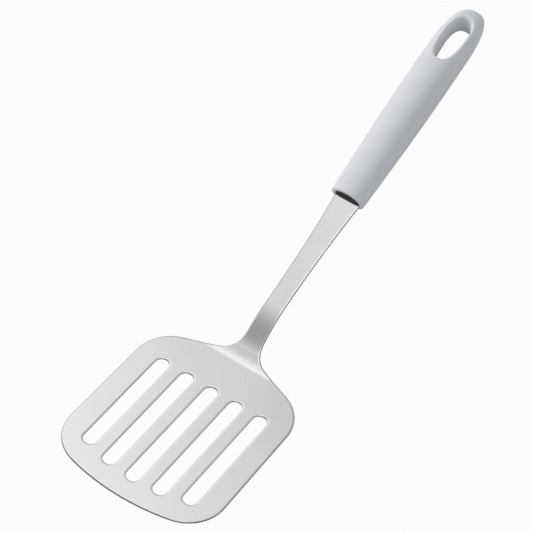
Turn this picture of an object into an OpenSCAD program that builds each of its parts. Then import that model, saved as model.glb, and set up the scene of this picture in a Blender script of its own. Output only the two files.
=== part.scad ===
// Slotted turner: one bent stainless sheet, a hollow moulded grip and the plug that holds the two together.
// It is drawn blade flat, front edge at x = 0 and grip towards +x, then tipped back until it lies on the
// heel of the blade and on the grip, as the real tool does, because most of its weight is behind the blade.

/* [Blade] */
// Thickness of the stainless sheet
sheet_t = 1.2; // [0.9:0.1:2]
// Length of the blade on its middle line, front edge to the corners' line
blade_l = 100.7; // [90:0.1:125]
// Width of the blade across its front, at the sharp corners
blade_front_w = 95.2; // [80:0.1:110]
// Width of the blade across its rear, at the sharp corners
blade_rear_w = 94; // [78:0.1:108]
// Radius of the convex front edge
front_edge_r = 122; // [100:1:300]
// Radius of the two front corners
front_corner_r = 23.3; // [8:0.1:28]
// Radius of the two rear corners
rear_corner_r = 23.6; // [8:0.1:28]
// How far the rear edge leans back towards the neck, in degrees
rear_sweep = 20.1; // [5:0.5:25]

/* [Slots] */
// How many slots there are, an odd number
slot_count = 5; // [3:2:5]
// Width of each slot
slot_w = 7.9; // [5:0.1:9]
// Distance between the middles of neighbouring slots
slot_pitch = 15.35; // [12:0.05:16]
// Front edge to the front end of the middle slot
slot_front_gap = 11.2; // [8:0.1:20]
// Length of the middle slot
slot_l = 76; // [50:0.5:80]
// Radius of the arc that the slots' front ends follow
slot_front_r = 85.5; // [70:0.5:200]

/* [Neck and shank] */
// Flat length of the sheet before the crease
flat_l = 108.7; // [100:0.1:112]
// Radius of the fillets between blade and shank
neck_fillet_r = 12.2; // [5:0.1:14]
// Radius of the crease, on the upper face
crease_r = 12; // [6:0.1:16]
// Slope of the sheet after the crease, in degrees
crease_slope = 25.5; // [15:0.5:30]
// Straight length after the crease
crease_straight_l = 3.9; // [1:0.1:6]
// Radius of the bend that raises the neck, on the upper face
neck_bend_r = 33.3; // [20:0.1:50]
// Slope of the neck where it is steepest, in degrees
neck_slope = 41.5; // [34:0.5:45]
// Straight length at the neck's steepest place
neck_straight_l = 1.6; // [0.5:0.1:4]
// Radius of the bend that eases the neck into the shank, on the upper face
shank_bend_r = 56; // [40:1:80]
// Slope of the shank and of the grip, in degrees
shank_slope = 23.7; // [15:0.1:28]
// Straight length of the shank, last bend to the grip's mouth
shank_l = 70.5; // [50:0.1:100]
// Width of the shank at its waist
waist_w = 10.9; // [8:0.1:14]
// Place of the waist, from the front edge along x
waist_x = 147.7; // [140:0.1:160]
// Radius of the shank's hollow sides
shank_side_r = 724; // [600:1:1200]
// Length of the tang, from the grip's mouth
tang_l = 62; // [35:1:80]
// Width of the tang
tang_w = 10; // [6:0.1:12]
// Clearance between the shank's shoulders and the grip's rim
shoulder_gap = 0.2; // [0.1:0.05:0.5]

/* [Grip] */
// Length of the grip
grip_l = 132.9; // [125:0.1:150]
// Width of the grip at its mouth
mouth_w = 20; // [19:0.1:22]
// Greatest width of the grip
grip_w = 23.9; // [22:0.1:28]
// Where the grip reaches its greatest width, from the mouth
grip_wide_at = 97; // [80:1:105]
// Height of the grip at its mouth
mouth_h = 16.3; // [15:0.1:19]
// Greatest height of the grip
grip_h = 21.2; // [18:0.1:24]
// Where the grip reaches its greatest height, from the mouth
grip_high_at = 60; // [50:1:70]
// Height of the grip's end over its middle line, before the end is rounded
end_top_h = 10; // [7:0.1:10.5]
// Depth of the grip's end under its middle line, before the end is rounded
end_under_h = 7.5; // [5:0.1:10]
// Length of the rounding at the grip's end, seen from above
end_round_l = 34.8; // [24:0.1:38]
// Length of the rounding at the grip's end, seen from the side
end_side_round_l = 30.1; // [16:0.1:34]
// Where the middle line starts to drop towards the end, from the mouth
tail_from = 90; // [85:1:100]
// How far the middle line has dropped at the end
tail_drop = 1.8; // [0:0.1:3]
// Radius of the mouth's rim
rim_r = 0.7; // [0.3:0.1:0.7]
// Height of the grip's middle line over the shank's upper face
grip_lift = 1.3; // [0:0.1:1.6]
// Wall of the hollow grip
grip_wall_t = 2.3; // [1.8:0.1:2.6]

/* [Plug] */
// How far the plug's face is set back from the rim
plug_recess = 0.1; // [0.1:0.1:4]
// Length of the plug
plug_l = 26; // [12:1:32]
// Clearance round the plug and round the tang in it
plug_gap = 0.15; // [0.1:0.05:0.3]

/* [Hanging slot] */
// Mouth of the grip to the near end of the slot
hang_from_mouth = 91; // [80:0.1:93]
// Length of the slot
hang_l = 31.6; // [24:0.1:32]
// Width of the slot where it is widest
hang_w = 12.5; // [7:0.1:13]
// Far end of the slot to its widest place
hang_wide_l = 13; // [10:0.1:18]
// How far the slot leans back towards the grip's end, in degrees
hang_lean = 14; // [0:0.1:18]
// Radius of the slot's rounded rims
hang_rim_r = 1.8; // [0.8:0.1:2.2]
// Solid plastic between the hollow and the slot
hang_wall_t = 3; // [2:0.1:5]

/* [Hidden] */
$fa = 1;
$fs = 0.4;

// How far cutting shapes run past the surfaces that they cut
overrun = 4;
// Steps along the long edges, the corners and the bends of the sheet
edge_steps = 20;
corner_steps = 12;
bend_steps = 10;
// Points round a section of the grip, and steps along its rim, its body and its rounded end
section_points = 48;
rim_steps = 4;
body_steps = 14;
end_steps = 10;
hollow_steps = 9;
plug_steps = 3;
// Steps round a quarter of the hanging slot and across its rim
hang_quarter_steps = 11;
hang_rim_steps = 5;
// Exponents of the superellipses that round the end and the hanging slot
end_power_share = 2.72;
hang_power_share = 2.45;
// Last angle of the end's rounding: the tip closes with a face this side of a quarter turn
end_angle = 86;
// Last angle of the hanging slot's rim, short of where it would only graze the grip's face
hang_rim_angle = 60;

// Unit vectors along and square to a slope
function along(a) = [cos(a), sin(a)];
function above(a) = [-sin(a), cos(a)];
function ease(t) = (1 - cos(180 * min(1, max(0, t)))) / 2;
// The point at distance r from centre g, on the line from p along d, the way that d points
function on_circle(p, d, g, r) =
    let (b = (p - g) * d, c = (p - g) * (p - g) - r * r) p + d * (-b + sqrt(b * b - c));
// The point where two lines meet, each given by its normal and its distance along that normal
function meet(n1, k1, n2, k2) =
    let (det = n1.x * n2.y - n1.y * n2.x) [(k1 * n2.y - k2 * n1.y) / det, (n1.x * k2 - n2.x * k1) / det];

// Outline of the blade: side line, rear edge, and the middles of its corner circles
side_lean = atan2((blade_front_w - blade_rear_w) / 2, blade_l);
side_out = [sin(side_lean), cos(side_lean)];
side_forward = [-cos(side_lean), sin(side_lean)];
rear_out = along(rear_sweep);
rear_inward = [sin(rear_sweep), -cos(rear_sweep)];
rear_corner = [blade_l, blade_rear_w / 2];
front_middle = [front_edge_r, 0];
front_c = on_circle(rear_corner - side_out * front_corner_r, side_forward, front_middle,
                    front_edge_r - front_corner_r);
rear_c = meet(side_out, side_out * rear_corner - rear_corner_r,
              rear_out, rear_out * rear_corner - rear_corner_r);

// Side view of the sheet's upper face: crease, bend up into the neck and bend back into the shank, with
// straights between them and after them
crease_c = [flat_l, sheet_t + crease_r];
neck_start = crease_c - above(crease_slope) * crease_r + along(crease_slope) * crease_straight_l;
neck_c = neck_start + above(crease_slope) * neck_bend_r;
ease_start = neck_c - above(neck_slope) * neck_bend_r + along(neck_slope) * neck_straight_l;
ease_c = ease_start - above(neck_slope) * shank_bend_r;
mouth_top = ease_c + above(shank_slope) * shank_bend_r + along(shank_slope) * shank_l;
grip_origin = mouth_top + above(shank_slope) * grip_lift;
shoulder_x = (mouth_top - along(shank_slope) * shoulder_gap).x;
tang_end_x = (mouth_top + along(shank_slope) * tang_l).x;

// Outline of the shank: hollow sides of one radius, and the fillets that run into the blade's rear edge
waist_c = [waist_x, waist_w / 2 + shank_side_r];
shoulder = [shoulder_x, waist_c.y - sqrt(pow(shank_side_r, 2) - pow(shoulder_x - waist_x, 2))];
fillet_c = on_circle(rear_corner + rear_out * neck_fillet_r, rear_inward, waist_c,
                     shank_side_r - neck_fillet_r);

// Half width of the grip at a distance u from its mouth: a swelling side, rounded off at the end
body_end = grip_l - end_round_l;
function end_share(u) = let (e = min(1, max(0, (u - body_end) / end_round_l)))
    pow(1 - pow(e, end_power_share), 1 / end_power_share);
function grip_half_w(u) =
    end_share(u) * (grip_w / 2 - (grip_w - mouth_w) / 2 * pow(1 - min(1, u / grip_wide_at), 2));
// Height of its upper face and depth of its lower face, from a middle line that drops along the tail
function grip_half_h(u, end_h) =
    let (e = min(1, max(0, (u - grip_l + end_side_round_l) / end_side_round_l))) sqrt(1 - e * e)
    * (u < grip_high_at ? mouth_h / 2 + (grip_h - mouth_h) / 2 * ease(u / grip_high_at)
        : grip_h / 2 + (end_h - grip_h / 2) * ease((u - grip_high_at) / (grip_l - grip_high_at)));
function grip_middle(u) = -tail_drop * pow(max(0, (u - tail_from) / (grip_l - tail_from)), 2);
// Section of the grip at u, drawn in by an inset: distance, half width, height, depth, middle
function section(u, inset = 0) = [u, grip_half_w(u) - inset, grip_half_h(u, end_top_h) - inset,
    grip_half_h(u, end_under_h) - inset, grip_middle(u)];
function section_top(s) = s[4] + s[2];
function section_bottom(s) = s[4] - s[3];
// Point of a section at an angle round it, as [across, up]
function section_point(s, a) = [s[1] * cos(a), s[4] + (sin(a) > 0 ? s[2] : s[3]) * sin(a)];
// Sections of the whole grip: rim, body, rounded end
rim_sections = [for (i = [0 : rim_steps - 1])
    let (a = 90 * i / rim_steps) section(rim_r * (1 - cos(a)), rim_r * (1 - sin(a)))];
body_sections = [for (i = [0 : body_steps - 1]) section(rim_r + (body_end - rim_r) * i / body_steps)];
end_sections = [for (i = [0 : end_steps])
    section(body_end + end_round_l * pow(sin(end_angle * i / end_steps), 2 / end_power_share))];
grip_sections = concat(rim_sections, body_sections, end_sections);

// How the tool lies: the line that touches both the heel, under the crease, and the underside of the grip
heel_r = crease_r + sheet_t;
function grip_point(u, z) = grip_origin + along(shank_slope) * u + above(shank_slope) * z;
function touch_angle(p) = let (v = p - crease_c) atan2(v.y, v.x) + asin(heel_r / norm(v));
rest_tilt = min([for (s = grip_sections) touch_angle(grip_point(s[0], section_bottom(s)))]);
rest_drop = crease_c * above(rest_tilt) - heel_r;
rest_end_x = max([for (s = grip_sections, z = [section_bottom(s), section_top(s)])
    grip_point(s[0], z) * along(rest_tilt)]);

// Turns the tool from blade flat to how it lies, with the origin under the middle of its length
module at_rest() {
    translate([-rest_end_x / 2, 0, -rest_drop]) rotate([0, rest_tilt, 0]) children();
}

// Puts a shape drawn along the grip's own middle line, from its mouth, on the end of the shank
module on_grip() {
    translate([grip_origin.x, 0, grip_origin.y]) rotate([0, -shank_slope, 0]) children();
}

function arc(c, r, a0, a1, steps) = [for (i = [0 : steps]) c + r * along(a0 + (a1 - a0) * i / steps)];
function direction(v) = atan2(v.y, v.x);

// The sheet seen from above, one half from the middle of the front edge to the tang's end
half_outline = concat(
    arc(front_middle, front_edge_r, 180, direction(front_c - front_middle), edge_steps),
    arc(front_c, front_corner_r, direction(front_c - front_middle), 90 - side_lean, corner_steps),
    arc(rear_c, rear_corner_r, 90 - side_lean, rear_sweep, corner_steps),
    arc(fillet_c, neck_fillet_r, 180 + rear_sweep, 360 + direction(fillet_c - waist_c), corner_steps),
    arc(waist_c, shank_side_r, direction(fillet_c - waist_c), direction(shoulder - waist_c), edge_steps),
    [[shoulder_x, tang_w / 2], [tang_end_x + overrun, tang_w / 2]]);

module sheet_outline() {
    polygon(concat(half_outline,
                   [for (i = [len(half_outline) - 1 : -1 : 1]) [half_outline[i].x, -half_outline[i].y]]));
}

// One slot whose round front end reaches the arc, and whose rear end reaches the common line
module slot(y) {
    front_x = slot_front_gap + slot_front_r - sqrt(pow(slot_front_r, 2) - y * y) + slot_w / 2;
    rear_x = slot_front_gap + slot_l - slot_w / 2;
    translate([front_x, y]) circle(d = slot_w);
    translate([rear_x, y]) circle(d = slot_w);
    translate([front_x, y - slot_w / 2]) square([rear_x - front_x, slot_w]);
}

// The sheet seen from the side: its upper face out to the tang's end, and its lower face back
module sheet_side_view() {
    tang_end = mouth_top + along(shank_slope) * tang_l;
    polygon(concat(
        [[0, 0], [0, sheet_t]],
        arc(crease_c, crease_r, -90, crease_slope - 90, bend_steps),
        arc(neck_c, neck_bend_r, crease_slope - 90, neck_slope - 90, bend_steps),
        arc(ease_c, shank_bend_r, 90 + neck_slope, 90 + shank_slope, bend_steps),
        [tang_end, tang_end - above(shank_slope) * sheet_t],
        arc(ease_c, shank_bend_r - sheet_t, 90 + shank_slope, 90 + neck_slope, bend_steps),
        arc(neck_c, neck_bend_r + sheet_t, neck_slope - 90, crease_slope - 90, bend_steps),
        arc(crease_c, heel_r, crease_slope - 90, -90, bend_steps)));
}

module blade() {
    top_z = grip_point(tang_l, 0).y + overrun;
    color([0.86, 0.87, 0.88]) at_rest() intersection() {
        translate([0, 0, -overrun]) linear_extrude(height = top_z + overrun) difference() {
            sheet_outline();
            for (i = [-(slot_count - 1) / 2 : (slot_count - 1) / 2]) slot(i * slot_pitch);
        }
        rotate([90, 0, 0]) linear_extrude(height = blade_front_w + 2 * overrun, center = true)
            sheet_side_view();
    }
}

// A smooth solid through sections of the grip, with flat ends
module loft(sections) {
    n = section_points;
    last = (len(sections) - 1) * n;
    points = [for (s = sections, i = [0 : n - 1]) let (q = section_point(s, 360 * i / n)) [s[0], q.x, q.y]];
    sides = [for (k = [0 : len(sections) - 2], i = [0 : n - 1])
        let (a = k * n + i, b = k * n + (i + 1) % n) each [[a, b + n, b], [a, a + n, b + n]]];
    polyhedron(points, concat(sides, [[for (i = [0 : n - 1]) i], [for (i = [n - 1 : -1 : 0]) last + i]]));
}

// Sections of the grip's body from one distance to another, drawn in by a wall
function sections_between(u0, u1, steps, wall) =
    [for (i = [0 : steps]) section(u0 + (u1 - u0) * i / steps, wall)];

// Height of the grip's upper face (side 1) or lower face (side -1), at u along it and y across it
function grip_face(u, y, side) = let (s = section(u))
    s[4] + side * (side > 0 ? s[2] : s[3]) * sqrt(max(0, 1 - pow(y / s[1], 2)));

// The hanging slot seen from above is a long oval of two half superellipses. Points round it, each with the
// direction out of the slot
hang_middle = [hang_from_mouth + hang_l - hang_wide_l, 0];
function hang_quarter(l, to_end, to_side) = [for (i = [0 : hang_quarter_steps])
    let (a = 90 * i / hang_quarter_steps, x = pow(sin(a), 2 / hang_power_share),
         y = pow(cos(a), 2 / hang_power_share), r = hang_w / 2,
         n = [pow(x, hang_power_share - 1) / l, pow(y, hang_power_share - 1) / r])
    [hang_middle + [to_end * l * x, to_side * r * y], [to_end * n.x, to_side * n.y] / norm(n)]];
function reversed(v) = [for (i = [len(v) - 1 : -1 : 0]) v[i]];
function without_first(v) = [for (i = [1 : len(v) - 1]) v[i]];
hang_near_l = hang_l - hang_wide_l;
hang_loop = concat(
    without_first(hang_quarter(hang_wide_l, 1, -1)),
    without_first(reversed(hang_quarter(hang_wide_l, 1, 1))),
    without_first(hang_quarter(hang_near_l, -1, 1)),
    without_first(reversed(hang_quarter(hang_near_l, -1, -1))));

// The hanging slot as a solid to cut away. It leans back, its walls open at both rims along a round that
// follows the grip's face, and beyond each rim it ends in a low cone.
module hang_slot() {
    lean = tan(hang_lean);
    function grown(p, a) = p[0] + p[1] * hang_rim_r * (1 - cos(a));
    function at(q, z) = [q.x + lean * z, q.y, z];
    function rim_z(q, z, a, side) = grip_face(q.x + lean * z, q.y, side) - side * hang_rim_r * (1 - sin(a));
    function rim_point(p, a, side, rise = 0) =
        let (q = grown(p, a), z = rim_z(q, rim_z(q, 0, a, side), a, side))
        at(q, rim_z(q, z, a, side) + side * rise);
    function rim(p, side) = concat(
        [rim_point(p, hang_rim_angle, side, hang_rim_r)],
        [for (i = [hang_rim_steps : -1 : 0]) rim_point(p, hang_rim_angle * i / hang_rim_steps, side)]);
    columns = [for (p = hang_loop) concat(rim(p, 1), reversed(rim(p, -1)))];
    peaks = [at(hang_middle, grip_h), at(hang_middle, -grip_h)];
    n = len(columns);
    m = len(columns[0]);
    walls = [for (k = [0 : n - 1], i = [0 : m - 2])
        let (a = k * m + i, b = (k + 1) % n * m + i) each [[a, b, b + 1], [a, b + 1, a + 1]]];
    cones = [for (k = [0 : n - 1])
        let (a = k * m, b = (k + 1) % n * m) each [[n * m, b, a], [n * m + 1, a + m - 1, b + m - 1]]];
    polyhedron(concat([for (c = columns) each c], peaks), concat(walls, cones));
}

module handle() {
    hollow_end = hang_from_mouth - grip_h / 2 * tan(hang_lean) - hang_wall_t;
    color([0.8, 0.81, 0.83]) at_rest() on_grip() difference() {
        loft(grip_sections);
        loft(sections_between(-overrun, hollow_end, hollow_steps, grip_wall_t));
        hang_slot();
    }
}

module tang_plug() {
    gap = grip_wall_t + plug_gap;
    color([0.14, 0.14, 0.15]) at_rest() on_grip() difference() {
        loft(sections_between(plug_recess, plug_recess + plug_l, plug_steps, gap));
        translate([plug_recess - overrun, -tang_w / 2 - plug_gap, -grip_lift - sheet_t - plug_gap])
            cube([plug_l + 2 * overrun, tang_w + 2 * plug_gap, sheet_t + 2 * plug_gap]);
    }
}

blade();
handle();
tang_plug();
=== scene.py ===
import math

import bmesh
import bpy
import numpy as np
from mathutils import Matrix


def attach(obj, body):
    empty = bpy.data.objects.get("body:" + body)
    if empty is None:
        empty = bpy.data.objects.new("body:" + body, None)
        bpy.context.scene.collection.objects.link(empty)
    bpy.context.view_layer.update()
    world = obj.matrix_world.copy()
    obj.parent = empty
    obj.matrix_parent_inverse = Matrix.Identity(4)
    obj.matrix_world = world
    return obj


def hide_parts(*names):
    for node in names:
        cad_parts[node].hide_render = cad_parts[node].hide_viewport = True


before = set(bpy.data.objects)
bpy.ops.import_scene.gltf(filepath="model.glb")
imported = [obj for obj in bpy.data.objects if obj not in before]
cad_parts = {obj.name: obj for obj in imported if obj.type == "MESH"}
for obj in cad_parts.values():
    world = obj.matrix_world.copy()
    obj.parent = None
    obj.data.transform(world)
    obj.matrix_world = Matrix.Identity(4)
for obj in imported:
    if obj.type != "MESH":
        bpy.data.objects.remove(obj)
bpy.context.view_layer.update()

# Blade, neck, shank and tang: one blank of 1.2 mm stainless sheet, stamped out with its five slots, creased
# behind the blade, bent up into the neck and eased back along the shank. The edges are tumbled round, the
# faces finished satin, and the tang runs on into the grip, where the plug holds it.

# All lengths are millimetres, with the blade flat and x running back from its front edge. The sheet's slope
# is given in degrees at the end of each length along its face, and changes evenly in between.
sheet_t = 1.2
bend_lengths = [108.7, 5.34, 3.5, 0.6, 9.1, 1.6, 17.4]
bend_slopes = [0, 25.2, 28.0, 25.0, 41.5, 41.5, 23.7]
run_l, run_steps = 300, 6000
run_s = np.linspace(0, run_l, run_steps + 1)
run_slope = np.radians(np.interp(run_s, np.cumsum(bend_lengths), bend_slopes))
step_slope = (run_slope[1:] + run_slope[:-1]) / 2
run_x = run_s[1] * np.concatenate([[0], np.cumsum(np.cos(step_slope))])
run_z = sheet_t + run_s[1] * np.concatenate([[0], np.cumsum(np.sin(step_slope))])


def on_sheet(plan, depth=0.0):
    """Lifts points of the blank, seen from above, onto the bent sheet: the height at x is the running sum
    of the sine of the slope, and depth goes down square to the sheet."""
    slope = np.interp(plan[..., 0], run_x, run_slope)
    height = np.interp(plan[..., 0], run_x, run_z)
    return np.stack([plan[..., 0] + depth * np.sin(slope), plan[..., 1],
                     height - depth * np.cos(slope)], -1)


def sheet_facing(plan, outward, angle):
    """The way the surface faces: the sheet's own normal, turned by an angle towards a direction in the
    sheet."""
    slope = np.interp(plan[..., 0], run_x, run_slope)
    face = np.stack([-np.sin(slope), 0 * slope, np.cos(slope)], -1)
    side = np.stack([outward[..., 0] * np.cos(slope), outward[..., 1],
                     outward[..., 0] * np.sin(slope)], -1)
    return math.cos(angle) * face + math.sin(angle) * side


def arc(middle, radius, start, end, steps):
    """Points at one radius round a middle, from one angle to another in equal steps of degrees."""
    a = np.radians(np.linspace(start, end, steps + 1))
    return np.array(middle) + radius * np.stack([np.cos(a), np.sin(a)], -1)


def shares(steps):
    """Equal steps from 0 to 1."""
    return np.linspace(0, 1, steps + 1)


def straight(start, end, at):
    """Points on a straight line, at the given shares of its length."""
    return np.array(start) + np.outer(at, np.array(end) - np.array(start))


# The outline is a chain of tangent arcs and straights: middles, radii, and the directions in degrees at
# which the arcs start and end. The front edge and the two corners are each in two parts.
front_edge_at, front_edge_r, front_edge_turn = [122, 0], 122, [180, 172.772, 165.841]
front_corner_at, front_corner_r, front_corner_turn = [26.298, 24.143], 23.3, [165.841, 127.75, 89.659]
rear_corner_at, rear_corner_r, rear_corner_turn = [84.170, 23.498], 23.6, [89.659, 54.88, 20.1]
neck_fillet_at, neck_fillet_r, neck_fillet_turn = [124.291, 18.035], 12.2, [200.1, 268.115]
waist_x, shank_side_y, shank_side_r = 147.7, 729.45, 724
shoulder_x, tang_x, tang_middle_x, tang_end_x = 205.2, 205.28, 235, 262.2
tang_half_w = 5

# Steps of the blade's grids: across, and along a line through a slot. The blade's side has as many in all.
across = 10
before_slot, round_cap, along_slot, behind_slot = 8, 10, 24, 36
front_steps, side_steps, rear_steps = before_slot + round_cap, round_cap + along_slot, behind_slot
neck_steps, shank_steps = 28, 60
even = shares(across)


def front_edge(inset, part):
    turn = front_edge_turn[part : part + 2]
    return arc(front_edge_at, front_edge_r - inset, *turn, across)


def front_corner(inset, part):
    turn = front_corner_turn[part : part + 2]
    return arc(front_corner_at, front_corner_r - inset, *turn, front_steps if part else across)


def rear_corner(inset, part):
    turn = rear_corner_turn[part : part + 2]
    return arc(rear_corner_at, rear_corner_r - inset, *turn, across if part else rear_steps)


def neck_fillet(inset):
    return arc(neck_fillet_at, neck_fillet_r + inset, *neck_fillet_turn, neck_steps)


def shank_side(inset):
    """The hollow side of the shank, an arc of 724 mm, then the shoulder and the tang inside the grip."""
    r, half_w = shank_side_r + inset, tang_half_w - inset
    shoulder_turn = 270 + math.degrees(math.asin((shoulder_x - waist_x) / r))
    side = arc([waist_x, shank_side_y], r, neck_fillet_turn[1], shoulder_turn, shank_steps)
    return np.concatenate([side, [[tang_x, half_w], [tang_middle_x, half_w], [tang_end_x - inset, half_w]]])


def blade_side(inset):
    """The side of the blade between the middles of its two round corners."""
    front, rear = front_corner(inset, 1), rear_corner(inset, 0)
    return np.concatenate([front, straight(front[-1], rear[0], shares(side_steps)[1:-1]), rear])


def half_blank(inset):
    """Half of the blank's outline, from the middle of the front edge round to the end of the tang."""
    shank = shank_side(inset)
    rear_edge = straight(rear_corner(inset, 1)[-1], neck_fillet(inset)[0], even[1:-1])
    tang_end = straight(shank[-1], [shank[-1][0], 0], even[1:])
    return np.concatenate([front_edge(inset, 0), front_edge(inset, 1)[1:], front_corner(inset, 0)[1:],
                           blade_side(inset)[1:], rear_corner(inset, 1)[1:], rear_edge, neck_fillet(inset),
                           shank[1:], tang_end])


# The middle slot and the two on one side of it: their front ends lie on an arc, their rear ends on a line.
slot_pitch, slot_r, slot_rear_x = 15.35, 3.95, 87.2
slot_front_gap, slot_front_r = 11.2, 85.5
slot_y = [0, slot_pitch, 2 * slot_pitch]
slot_front_x = [slot_front_gap + slot_front_r - math.sqrt(slot_front_r**2 - y**2) for y in slot_y]


def slot_side(k, inset, side):
    """One side of a slot, from its front end to its rear end: a quarter circle, a straight and a quarter
    circle."""
    r = slot_r + inset
    nose = arc([slot_front_x[k] + slot_r, slot_y[k]], r, 180, 180 - 90 * side, round_cap)
    tail = arc([slot_rear_x - slot_r, slot_y[k]], r, 90 * side, 0, round_cap)
    return np.concatenate([nose, straight(nose[-1], tail[0], shares(along_slot)[1:-1]), tail])


def rail(k, inset, side):
    """A line through the blade along slot k: front edge to the slot, one side of the slot, slot to rear
    edge. Behind the slot the steps get shorter towards the rear edge."""
    closing_up = 1.3
    front = [front_edge(inset, 0)[0], front_edge(inset, 1)[0], front_corner(inset, 0)[0]][k]
    neck = neck_fillet(inset)[0]
    rear = [[neck[0], 0], neck, rear_corner(inset, 1)[-1]][k]
    edge = slot_side(k, inset, side)
    behind = 1 - (1 - shares(behind_slot)[1:]) ** closing_up
    return np.concatenate([straight(front, edge[0], shares(before_slot)[:-1]), edge,
                           straight(edge[-1], rear, behind)])


def fill(inner, outer, front, rear):
    """A grid between four lines: the sum of the straight blends between the two pairs of opposite lines,
    less the blend between the four corners."""
    u = shares(len(inner) - 1)[:, None, None]
    v = shares(len(front) - 1)[None, :, None]
    corners = (1 - u) * ((1 - v) * inner[0] + v * outer[0]) + u * ((1 - v) * inner[-1] + v * outer[-1])
    return (1 - v) * inner[:, None] + v * outer[:, None] + (1 - u) * front + u * rear - corners


# Flat faces, top and bottom: three fields of the blade between the lines through the slots, then the shank.
roll_w, roll_h = 1.1, 0.46
neck_start = neck_fillet(roll_w)[0]
shank_line = np.concatenate([neck_fillet(roll_w), shank_side(roll_w)[1:]])
fields = [
    fill(rail(0, roll_w, 1), rail(1, roll_w, -1), front_edge(roll_w, 0),
         straight([neck_start[0], 0], neck_start, even)),
    fill(rail(1, roll_w, 1), rail(2, roll_w, -1), front_edge(roll_w, 1),
         straight(neck_start, rear_corner(roll_w, 1)[-1], even)),
    fill(rail(2, roll_w, 1), blade_side(roll_w), front_corner(roll_w, 0), rear_corner(roll_w, 1)[::-1]),
    np.stack([shank_line[:, :1] + 0 * even, shank_line[:, 1:] * even], -1),
]
sheet_points, sheet_normals, sheet_edge_shade = [], [], []
for field in fields:
    for depth, turn in ((0, 0), (sheet_t, math.pi)):
        sheet_points.append(on_sheet(field, depth))
        sheet_normals.append(sheet_facing(field, 0 * field, turn))
        sheet_edge_shade.append(np.zeros(field.shape[:2]))

# Each stamped edge rolls over: a quarter of an ellipse, 1.1 mm in from the edge and 0.46 mm deep, then the
# sheared wall and a second quarter, carried along its outline. The mark, a near-black colour that is partly
# the duller sheared metal and partly painted shade for the dark lines along the edges, grows with the
# square of the sine of the edge's tilt, and is full from a tilt of 35 degrees, or 65 in the slots.
quarter_steps = 5
outer_shade_tilt, slot_shade_tilt = 35, 65
edge_turn = np.radians(np.concatenate([np.linspace(0, 90, quarter_steps + 1),
                                       np.linspace(90, 180, quarter_steps + 1)]))
edge_lines = [half_blank] + [lambda inset, k=k, side=side: slot_side(k, inset, side)
                             for k, side in ((0, 1), (1, 1), (1, -1), (2, 1), (2, -1))]
for outline in edge_lines:
    outward = outline(0) - outline(roll_w)
    outward = outward / np.linalg.norm(outward, axis=1, keepdims=True)
    full_shade_sine = math.sin(math.radians(outer_shade_tilt if outline is half_blank else slot_shade_tilt))
    edge_points, edge_normals, edge_shade_row = [], [], []
    for k, a in enumerate(edge_turn):
        tilt = math.atan2(roll_h * math.sin(a), roll_w * math.cos(a))
        plan = outline(roll_w * (1 - math.sin(a)))
        depth = roll_h * (1 - math.cos(a)) + (k > quarter_steps) * (sheet_t - 2 * roll_h)
        edge_points.append(on_sheet(plan, depth))
        edge_normals.append(sheet_facing(plan, outward, tilt))
        edge_shade_row.append(np.full(len(plan), min(1, math.sin(tilt) / full_shade_sine) ** 2))
    sheet_points.append(np.stack(edge_points))
    sheet_normals.append(np.stack(edge_normals))
    sheet_edge_shade.append(np.stack(edge_shade_row))

mirror = np.array([1, -1, 1])
sheet_points += [g * mirror for g in sheet_points]
sheet_normals += [g * mirror for g in sheet_normals]
sheet_edge_shade += sheet_edge_shade

rest_tilt = math.radians(22.5467)
rest_l, rest_lift = 340.957, 42.7


def turn_to_rest(v):
    """Turns directions from the blade lying flat to the turner tipped back by 22.55 degrees about y."""
    c, s = math.cos(rest_tilt), math.sin(rest_tilt)
    return np.stack([v[..., 0] * c + v[..., 2] * s, v[..., 1], v[..., 2] * c - v[..., 0] * s], -1)


def put_at_rest(points):
    """Millimetres with the blade flat to metres with the turner on its heel and grip, over its middle."""
    return (turn_to_rest(points) + np.array([-rest_l / 2, 0, rest_lift])) / 1000


def join_grids(name, grids, facing=None, marks=None):
    """One closed mesh from several grids of points: neighbours in a grid share a face, points that lie
    within two thousandths of a millimetre are merged, and all faces are turned outwards. Each point may
    bring its normal and a mark."""
    merge_m = 2e-6
    faces, first = [], 0
    for g in grids:
        at = first + np.arange(g.shape[0] * g.shape[1]).reshape(g.shape[:2])
        faces.append(np.stack([at[:-1, :-1], at[1:, :-1], at[1:, 1:], at[:-1, 1:]], -1).reshape(-1, 4))
        first += at.size
    mesh = bpy.data.meshes.new(name)
    points = np.concatenate([g.reshape(-1, 3) for g in grids])
    mesh.from_pydata(put_at_rest(points).tolist(), [], np.concatenate(faces).tolist())
    if marks is not None:
        # For the sheet the marks are the painted edge shade, kept on each point for the steel's shader.
        mesh.attributes.new("sheared_edge_shade", "FLOAT", "POINT").data.foreach_set(
            "value", np.concatenate([m.ravel() for m in marks]).astype(np.float32))
    if facing is not None:
        normals = turn_to_rest(np.concatenate([n.reshape(-1, 3) for n in facing]))
        mesh.attributes.new("facing", "FLOAT_VECTOR", "POINT").data.foreach_set(
            "vector", normals.astype(np.float32).ravel())
    shell = bmesh.new()
    shell.from_mesh(mesh)
    bmesh.ops.remove_doubles(shell, verts=shell.verts, dist=merge_m)
    bmesh.ops.recalc_face_normals(shell, faces=shell.faces)
    shell.to_mesh(mesh)
    shell.free()
    mesh.polygons.foreach_set("use_smooth", np.ones(len(mesh.polygons), bool))
    if facing is not None:
        normals = np.zeros(len(mesh.vertices) * 3, np.float32)
        mesh.attributes["facing"].data.foreach_get("vector", normals)
        mesh.normals_split_custom_set_from_vertices(normals.reshape(-1, 3).tolist())
        mesh.attributes.remove(mesh.attributes["facing"])
    piece = bpy.data.objects.new(name, mesh)
    bpy.context.scene.collection.objects.link(piece)
    return piece


sheet = join_grids("stainless_sheet", sheet_points, sheet_normals, sheet_edge_shade)


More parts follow.
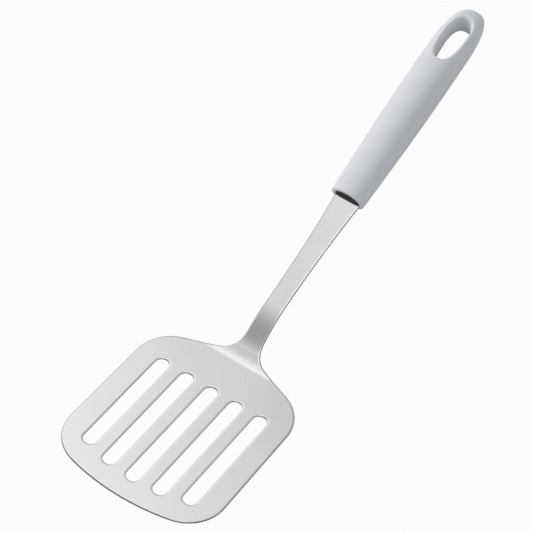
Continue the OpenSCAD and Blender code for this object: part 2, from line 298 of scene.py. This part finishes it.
def place(tree, kind, inputs, **settings):
    """Puts one node into a material and wires its inputs to other nodes' outputs or sets them to values."""
    node = tree.nodes.new(kind)
    for key, value in settings.items():
        setattr(node, key, value)
    for key, value in inputs.items():
        if isinstance(value, bpy.types.NodeSocket):
            tree.links.new(value, node.inputs[key])
        else:
            node.inputs[key].default_value = value
    return node


def calculate(tree, operation, first, second):
    """Adds, multiplies or compares two numbers."""
    return place(tree, "ShaderNodeMath", {0: first, 1: second}, operation=operation).outputs["Value"]


def spread(tree, noise, low, high):
    """Takes the middle of a noise's range, from 0.3 to 0.7, to the range from low to high."""
    return place(tree, "ShaderNodeMapRange", {"Value": noise, "From Min": 0.3, "From Max": 0.7,
                                              "To Min": low, "To Max": high}).outputs["Result"]


def mix_numbers(tree, share, first, second):
    """Goes from one number to another. Inputs 2 and 3 of the node are its numbers."""
    return place(tree, "ShaderNodeMix", {0: share, 2: first, 3: second}).outputs[0]


def mix_colours(tree, share, first, second):
    """Goes from one colour to another. Inputs 6 and 7 of the node and its output 2 are its colours."""
    return place(tree, "ShaderNodeMix", {0: share, 6: first, 7: second}, data_type="RGBA").outputs[2]


def blank_material(name):
    """A new material with a Principled shader on its output, and the object's own coordinates."""
    material = bpy.data.materials.new(name)
    material.use_nodes = True
    shader = material.node_tree.nodes["Principled BSDF"]
    where = material.node_tree.nodes.new("ShaderNodeTexCoord").outputs["Object"]
    return material, material.node_tree, shader, where


def shader_group(name, inputs, outputs):
    """A node group with named number inputs and their defaults, a place to read, and named outputs."""
    group = bpy.data.node_groups.new(name, "ShaderNodeTree")
    group.interface.new_socket("Place", in_out="INPUT", socket_type="NodeSocketVector")
    for key, value in inputs.items():
        group.interface.new_socket(key, in_out="INPUT", socket_type="NodeSocketFloat").default_value = value
    for key in outputs:
        group.interface.new_socket(key, in_out="OUTPUT", socket_type="NodeSocketFloat")
    return group, group.nodes.new("NodeGroupInput").outputs, group.nodes.new("NodeGroupOutput").inputs


def use_group(tree, group, where, **values):
    """Places a shader group in a material with its own values."""
    node = tree.nodes.new("ShaderNodeGroup")
    node.node_tree = group
    tree.links.new(where, node.inputs["Place"])
    for key, value in values.items():
        node.inputs[key].default_value = value
    return node.outputs


# Handling marks: broad, faint clouds from wiping and handling, on every piece.
handling, given, result = shader_group("handling_marks", {"Size": 28.0, "Low": -1.0, "High": 1.0},
                                       ["Cloud"])
cloud = place(handling, "ShaderNodeTexNoise", {"Vector": given["Place"], "Scale": given["Size"],
                                               "Detail": 3.0, "Roughness": 0.45}).outputs["Fac"]
handling.links.new(spread(handling, cloud, given["Low"], given["High"]), result["Cloud"])

# Satin stainless: fine brush lines along the tool. Along the edges the colour goes nearly black, partly the
# duller sheared metal and partly painted shade for the dark lines along the edges.
sheared_edge_shade_colour = (0.06, 0.06, 0.062, 1)
satin, tree, shader, where = blank_material("satin_stainless")
stretch = place(tree, "ShaderNodeMapping", {"Vector": where, "Scale": (90, 5200, 90)}).outputs["Vector"]
brush = place(tree, "ShaderNodeTexNoise", {"Vector": stretch, "Scale": 1.0, "Detail": 4.0,
                                           "Roughness": 0.6}).outputs["Fac"]
marks = use_group(tree, handling, where, Size=34.0, Low=-0.018, High=0.018)["Cloud"]
# The edge mark: where the steel is painted near-black, as shade along its edges and as sheared metal.
edge_shade_share = place(tree, "ShaderNodeAttribute", {}, attribute_name="sheared_edge_shade").outputs["Fac"]
tone = calculate(tree, "ADD", spread(tree, brush, 0.76, 0.78), marks)
grey = place(tree, "ShaderNodeCombineColor", {"Red": tone, "Green": tone, "Blue": tone}).outputs["Color"]
tree.links.new(mix_colours(tree, edge_shade_share, grey, sheared_edge_shade_colour), shader.inputs["Base Color"])
gloss = calculate(tree, "ADD", spread(tree, brush, 0.24, 0.30), marks)
tree.links.new(gloss, shader.inputs["Roughness"])
lines = place(tree, "ShaderNodeBump", {"Height": brush, "Strength": 0.03, "Distance": 0.00002})
tree.links.new(lines.outputs["Normal"], shader.inputs["Normal"])
shader.inputs["Metallic"].default_value = 1.0
sheet.data.materials.append(satin)

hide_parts("blade")
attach(sheet, "root")

# Grip: one hollow moulding in light grey plastic, oval in section, swelling from a rounded mouth and
# falling away to a rounded end. A long oval slot with filleted rims goes through the end, to hang the
# turner by.

# Along the grip, u runs from the mouth. Widths and heights are halves, and the lengths that the end rounds
# over, in plan and in side view, are measured back from the tip.
grip_l, end_l, end_side_l, wall_t = 132.85, 34.8, 30.1, 2.3
mouth_half_w, wide_half_w, wide_u = 10, 11.95, 97
mouth_half_h, high_half_h, high_u = 8.15, 10.6, 60
top_end_h, under_end_h = 10.0, 7.5
tail_u, tail_drop = 90, 1.8
end_power = 2.72
grip_slope = math.radians(23.7)
mouth_x, mouth_z = 204.943, 49.0873


def ease(t):
    """Half a cosine wave, from 0 at t = 0 to 1 at t = 1."""
    return (1 - np.cos(np.pi * np.clip(t, 0, 1))) / 2


def half_width(u):
    """A parabola from 10 at the mouth to 11.95 at 97, times a superellipse of power 2.72 that rounds the
    end."""
    e = np.clip((u - grip_l + end_l) / end_l, 0, 1)
    narrowing = (wide_half_w - mouth_half_w) * (1 - np.minimum(1, u / wide_u)) ** 2
    return (1 - e**end_power) ** (1 / end_power) * (wide_half_w - narrowing)


def half_height(u, end_h):
    """From 8.15 at the mouth to 10.6 at 60 and on to the end's own height, times an ellipse that rounds the
    end."""
    e = np.clip((u - grip_l + end_side_l) / end_side_l, 0, 1)
    rise = mouth_half_h + (high_half_h - mouth_half_h) * ease(u / high_u)
    fall = high_half_h + (end_h - high_half_h) * ease((u - high_u) / (grip_l - high_u))
    return np.sqrt(1 - e * e) * np.where(u < high_u, rise, fall)


def middle(u):
    """The line of the greatest width: straight to 90, then dropping with the square of the distance, by
    1.8 at the tip."""
    return -tail_drop * np.maximum(0, (u - tail_u) / (grip_l - tail_u)) ** 2


def on_grip(u, y, z):
    """Points along, across and above the grip's axis, which starts at the mouth and rises 23.7 degrees."""
    c, s = math.cos(grip_slope), math.sin(grip_slope)
    return np.stack([mouth_x + u * c - z * s, y + 0 * u, mouth_z + u * s + z * c], -1)


def skin(u, turn, inset=0.0):
    """Ovals round the grip: half the width times the cosine across, and the height over the middle line (10
    at the end) or the depth under it (7.5 at the end) times the sine."""
    up, along = np.sin(turn), u + 0 * turn
    height = np.where(up > 0, half_height(along, top_end_h), half_height(along, under_end_h)) - inset
    return on_grip(along, (half_width(along) - inset) * np.cos(turn), middle(along) + height * up)


# The moulding from the bottom of its hollow along the inner wall, over the mouth's two rounds to the
# outside. The slot lies in a frame of the skin, from near_u to far_u and above or below side_turn.
near_u, far_u, hollow_u = 85.0, 129.0, 85.3
side_turn = np.radians(26.25)
inner_lip_r, outer_lip_r = 0.3, 0.7
hollow_lines, body_lines, around_steps = 40, 61, 96
around = np.radians(360 * shares(around_steps))
lip_in, lip_out = np.radians([30, 60, 90]), np.radians([0, 22.5, 45, 67.5])
body_u = np.concatenate([np.linspace(hollow_u, inner_lip_r, hollow_lines),
                         inner_lip_r * (1 - np.sin(lip_in)), outer_lip_r * (1 - np.cos(lip_out)),
                         np.linspace(outer_lip_r, near_u, body_lines)])
body_inset = np.concatenate([np.full(hollow_lines, wall_t), wall_t - inner_lip_r * (1 - np.cos(lip_in)),
                             outer_lip_r * (1 - np.sin(lip_out)), np.zeros(body_lines)])
bottom = on_grip(hollow_u + 0 * around, 0 * around, 0 * around)
grip_grids = [np.concatenate([bottom[None], skin(body_u[:, None], around, body_inset[:, None])])]

# The end beyond the slot, closed at its tip, and the two sides that run past the slot.
tip_steps, past_steps, past_side_lines = 24, 30, 15
start = math.asin(((far_u - grip_l + end_l) / end_l) ** (end_power / 2))
tip_u = grip_l - end_l + end_l * np.sin(np.linspace(start, np.pi / 2, tip_steps + 1)) ** (2 / end_power)
grip_grids.append(skin(tip_u[:, None], around))
past_u = np.linspace(near_u, far_u, past_steps + 1)
for side_middle in (0, math.pi):
    past_turn = side_middle + side_turn * np.linspace(-1, 1, past_side_lines)
    grip_grids.append(skin(past_u[:, None], past_turn))

# The slot is a long oval: half superellipses of power 2.45, 13 long to its far end and 18.6 to its near
# end, and 6.25 to each side of its widest place. It leans back 14 degrees.
hang_u, hang_far_l, hang_near_l, hang_half_w, hang_power = 109.6, 13.0, 18.6, 6.25, 2.45
hang_lean, rim_r = math.tan(math.radians(14)), 1.8
cap_steps = 34
slot_turn = np.radians(np.concatenate([np.linspace(45, -45, cap_steps + 1),
                                       np.linspace(-45, -135, past_steps + 1)[1:],
                                       np.linspace(-135, -225, cap_steps + 1)[1:],
                                       np.linspace(-225, -315, past_steps + 1)[1:]]))
toward, aside = np.cos(slot_turn), np.sin(slot_turn)
hang_l = np.where(toward > 0, hang_far_l, hang_near_l)
oval = np.stack([hang_u + hang_l * np.sign(toward) * np.abs(toward) ** (2 / hang_power),
                 hang_half_w * np.sign(aside) * np.abs(aside) ** (2 / hang_power)], -1)
out = np.stack([np.sign(toward) * np.abs(toward) ** (2 - 2 / hang_power) / hang_l,
                np.sign(aside) * np.abs(aside) ** (2 - 2 / hang_power) / hang_half_w], -1)
out = out / np.linalg.norm(out, axis=1, keepdims=True)


def rim(a, side):
    """A line round the slot's upper (1) or lower (-1) rim, from its wall at a = 0 over a round of 1.8 mm to
    the grip's face at a = 90 degrees: the face's height at the line's own place, less what the round takes
    off. The lean shifts the line along the grip as it rises, so its height is worked out six times over."""
    line = oval + out * rim_r * (1 - math.cos(a))
    z = np.zeros(len(line))
    for _ in range(6):
        u = line[:, 0] + hang_lean * z
        h = half_height(u, top_end_h) if side > 0 else half_height(u, under_end_h)
        face = h * np.sqrt(1 - (line[:, 1] / half_width(u)) ** 2)
        z = middle(u) + side * (face - rim_r * (1 - math.sin(a)))
    return np.stack([line[:, 0] + hang_lean * z, line[:, 1], z], -1)


rim_steps, wall_steps = 9, 11
rim_turn = np.radians(np.linspace(90, 0, rim_steps + 1))
upper, lower = [rim(a, 1) for a in rim_turn], [rim(a, -1) for a in rim_turn[::-1]]
wall = [upper[-1] + (lower[0] - upper[-1]) * share for share in shares(wall_steps)[1:-1]]
slot_skin = np.stack(upper + wall + lower)
grip_grids.append(on_grip(*np.moveaxis(slot_skin, -1, 0)))

# Round the slot the skin is a ring, in distance and angle, between the rim and the frame of the other
# grids.
low_turn, high_turn, ring_steps = side_turn, math.pi - side_turn, 10
frame_u = np.concatenate([np.full(cap_steps, far_u), past_u[::-1][:-1], np.full(cap_steps, near_u), past_u])
frame_turn = np.concatenate([np.linspace(low_turn, high_turn, cap_steps + 1)[:-1],
                             np.full(past_steps, high_turn),
                             np.linspace(high_turn, low_turn, cap_steps + 1)[:-1],
                             np.full(past_steps + 1, low_turn)])
t = shares(ring_steps)[:, None]
for side, line in ((1, upper[0]), (-1, lower[-1])):
    line_turn = np.arccos(line[:, 1] / half_width(line[:, 0]))
    ring_turn = side * ((1 - t) * line_turn + t * frame_turn)
    grip_grids.append(skin((1 - t) * line[:, 0] + t * frame_u, ring_turn))

grip = join_grids("moulded_grip", grip_grids)

# Moulded grain: the fine, even texture of an eroded mould, used on both plastic pieces.
grain, given, result = shader_group("moulded_grain", {"Fineness": 2400.0}, ["Height", "Tone"])
fine = place(grain, "ShaderNodeTexNoise", {"Vector": given["Place"], "Scale": given["Fineness"],
                                           "Detail": 2.0}).outputs["Fac"]
grain.links.new(fine, result["Height"])
grain.links.new(spread(grain, fine, 0.985, 1.015), result["Tone"])


def plastic(name, colour, roughness, marks_size, fineness):
    """Matte moulded plastic: one colour, a little lighter and darker with the grain and with handling."""
    material, tree, shader, where = blank_material(name)
    texture = use_group(tree, grain, where, Fineness=fineness)
    marks = use_group(tree, handling, where, Size=marks_size, Low=-0.02, High=0.02)["Cloud"]
    shade = calculate(tree, "ADD", texture["Tone"], marks)
    tinted = place(tree, "ShaderNodeVectorMath", {0: colour, "Scale": shade}, operation="SCALE")
    tree.links.new(tinted.outputs["Vector"], shader.inputs["Base Color"])
    tree.links.new(calculate(tree, "ADD", marks, roughness), shader.inputs["Roughness"])
    bump = place(tree, "ShaderNodeBump", {"Height": texture["Height"], "Strength": 0.15,
                                          "Distance": 0.00003})
    tree.links.new(bump.outputs["Normal"], shader.inputs["Normal"])
    shader.inputs["Specular IOR Level"].default_value = 0.2
    return material


grip.data.materials.append(plastic("grey_plastic", colour=(0.705, 0.715, 0.74), roughness=0.55,
                                   marks_size=22.0, fineness=2600.0))
# Neither the grip nor the plug shows as a mirror image in the steel at the mouth.
grip.visible_glossy = False

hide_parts("handle")
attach(grip, "root")

# Plug: a dark moulded plug that is pressed over the tang and into the grip's mouth, nearly flush with its
# rim. It is a slice of the hollow's own shape with a narrow slit for the tang, and its face is crowned
# forward.

plug_front, plug_back, plug_bevel, plug_crown, plug_gap = 0.1, 26.1, 0.4, 0.6, 0.15
grip_lift = 1.3
slit_half_w = tang_half_w + plug_gap
slit_top, slit_bottom = plug_gap - grip_lift, -grip_lift - sheet_t - plug_gap
slit_corners = np.array([[slit_half_w, slit_top], [slit_half_w, slit_bottom],
                         [-slit_half_w, slit_bottom], [-slit_half_w, slit_top]])
end_steps, long_steps, barrel_steps, face_steps = 4, 28, 8, 5
slit_sides = [straight(slit_corners[k], slit_corners[(k + 1) % 4], shares(steps)[:-1])
              for k, steps in enumerate((end_steps, long_steps, end_steps, long_steps))]
slit_line = np.concatenate([*slit_sides, slit_corners[:1]])
end_turn = 12
plug_turn = np.radians(np.concatenate([np.linspace(end_turn, -end_turn, end_steps + 1)[:-1],
                                       np.linspace(-end_turn, end_turn - 180, long_steps + 1)[:-1],
                                       np.linspace(180 + end_turn, 180 - end_turn, end_steps + 1)[:-1],
                                       np.linspace(180 - end_turn, end_turn, long_steps + 1)]))
bevel = np.radians([0, 30, 60, 90])
barrel_u = np.linspace(plug_front + plug_bevel, plug_back, barrel_steps + 1)[1:]
plug_u = np.concatenate([plug_front + plug_bevel * (1 - np.cos(bevel)), barrel_u])
plug_inset = wall_t + plug_gap + np.concatenate([plug_bevel * (1 - np.sin(bevel)), np.zeros(barrel_steps)])
barrel = skin(plug_u[:, None], plug_turn, plug_inset[:, None])
front_slit, back_slit = (on_grip(u + 0 * slit_line[:, 0], slit_line[:, 0], slit_line[:, 1])
                         for u in (plug_front - plug_crown, plug_back))
t = shares(face_steps)[:, None, None]
plug = join_grids("tang_plug_moulding", [(1 - t) * back_slit + t * front_slit,
                                         (1 - t) * front_slit + t * barrel[0], barrel,
                                         (1 - t) * barrel[-1] + t * back_slit])
plug.data.materials.append(plastic("dark_plastic", colour=(0.03, 0.03, 0.031), roughness=0.7,
                                   marks_size=60.0, fineness=2000.0))
plug.visible_glossy = False

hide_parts("tang_plug")
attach(plug, "root")

# Studio: a white floor, one large soft lamp from the left and a surround of pale and darker bands, which
# the satin steel mirrors. The camera looks steeply down on the turner, with its blade at the lower left.

bpy.ops.mesh.primitive_plane_add(size=6)
floor = bpy.context.object
floor.name = "floor"
paper = bpy.data.materials.new("white_paper")
paper.use_nodes = True
tree = paper.node_tree
shader = tree.nodes["Principled BSDF"]
shader.inputs["Base Color"].default_value = (0.45, 0.45, 0.45, 1)
shader.inputs["Roughness"].default_value = 0.9
shader.inputs["Specular IOR Level"].default_value = 0.0
# The floor lights the turner as grey paper, and looks white to the camera and in the steel.
white_share = 0.96
path = tree.nodes.new("ShaderNodeLightPath").outputs
seen = calculate(tree, "MAXIMUM", path["Is Camera Ray"], path["Is Glossy Ray"])
seen = calculate(tree, "MAXIMUM", seen, path["Is Transmission Ray"])
white = place(tree, "ShaderNodeEmission", {"Color": (1, 1, 1, 1), "Strength": 1.0}).outputs["Emission"]
mixed = place(tree, "ShaderNodeMixShader", {0: calculate(tree, "MULTIPLY", seen, white_share),
                                            1: shader.outputs["BSDF"], 2: white})
tree.links.new(mixed.outputs["Shader"], tree.nodes["Material Output"].inputs["Surface"])
floor.data.materials.append(paper)

world = bpy.data.worlds.new("studio")
bpy.context.scene.world = world
world.use_nodes = True
tree = world.node_tree
path = tree.nodes.new("ShaderNodeLightPath").outputs
way = tree.nodes.new("ShaderNodeTexCoord").outputs["Generated"]


def banded(axis, ends, between):
    """Light whose level changes with the cosine of the angle between the way looked and an axis: the levels
    at -1 and at 1, and pairs of cosine and level between them."""
    cosine = place(tree, "ShaderNodeVectorMath", {0: way, 1: axis}, operation="DOT_PRODUCT")
    share = place(tree, "ShaderNodeMapRange", {"Value": cosine.outputs["Value"],
                                               "From Min": -1.0}).outputs["Result"]
    ramp = place(tree, "ShaderNodeValToRGB", {"Fac": share})
    stops = ramp.color_ramp.elements
    for stop, level in zip(stops, ends):
        stop.color = (level, level, level, 1)
    for at, level in between:
        stops.new((at + 1) / 2).color = (level, level, level, 1)
    return ramp.outputs["Color"]


# What the steel mirrors. The axis is the way that the neck's steepest part mirrors: the flat blade looks to
# the brightest band, the shank to a plainer one, and the neck's bend to the dark end.
overhead = banded((-0.323, 0.306, 0.896), ends=(0.75, 0.34),
                  between=[(0.0, 0.75), (0.16, 1.00), (0.30, 1.37), (0.45, 1.38), (0.60, 1.08),
                           (0.80, 0.91), (0.93, 0.59)])
# A darker ring round an axis to the left of the picture, which the rolled edges on the right look to.
dark_ring = banded((-0.53, 0.75, 0.39), ends=(0.9, 1.0),
                   between=[(-0.45, 0.9), (-0.25, 0.48), (-0.10, 0.48), (0.10, 1.0)])
# A small bright patch overhead, which the crease behind the blade mirrors as a light line.
patch = banded((0.216, -0.07, 0.974), ends=(0.0, 0.9), between=[(0.970, 0.0), (0.988, 0.9)])
surround = calculate(tree, "ADD", calculate(tree, "MULTIPLY", overhead, dark_ring), patch)
# The fill on matte surfaces is slightly cool, and weaker overhead and round the lamp, which leaves the
# grip's shading to the lamp.
fill_level = banded((0, 0.5, 0.866), ends=(0.74, 0.15), between=[(0.25, 0.74)])
fill_colour = mix_colours(tree, path["Is Diffuse Ray"], (1, 1, 1, 1), (0.95, 0.975, 1.0, 1))
lit = mix_numbers(tree, path["Is Glossy Ray"], fill_level, surround)
level = mix_numbers(tree, path["Is Camera Ray"], lit, 1.0)
tree.links.new(fill_colour, tree.nodes["Background"].inputs["Color"])
tree.links.new(level, tree.nodes["Background"].inputs["Strength"])

lamp = bpy.data.objects.new("left_softbox", bpy.data.lights.new("left_softbox", "AREA"))
lamp.data.shape = "RECTANGLE"
lamp.data.size, lamp.data.size_y = 1.4, 0.5
lamp.data.energy = 16.8
lamp.location = (0.0, 1.202, 0.939)
lamp.rotation_euler = (math.radians(-52), 0, 0)
lamp.visible_glossy = False
bpy.context.scene.collection.objects.link(lamp)

camera = bpy.data.objects.new("camera", bpy.data.cameras.new("camera"))
camera.location = (-0.36415, -0.34321, 1.07169)
camera.rotation_euler = [math.radians(a) for a in (24.5111, 5.793, -56.4976)]
camera.data.lens = 149.587
camera.data.sensor_width = 36.0
camera.data.clip_end = 20.0
bpy.context.scene.collection.objects.link(camera)
bpy.context.scene.camera = camera
bpy.context.scene.view_settings.view_transform = "Standard"
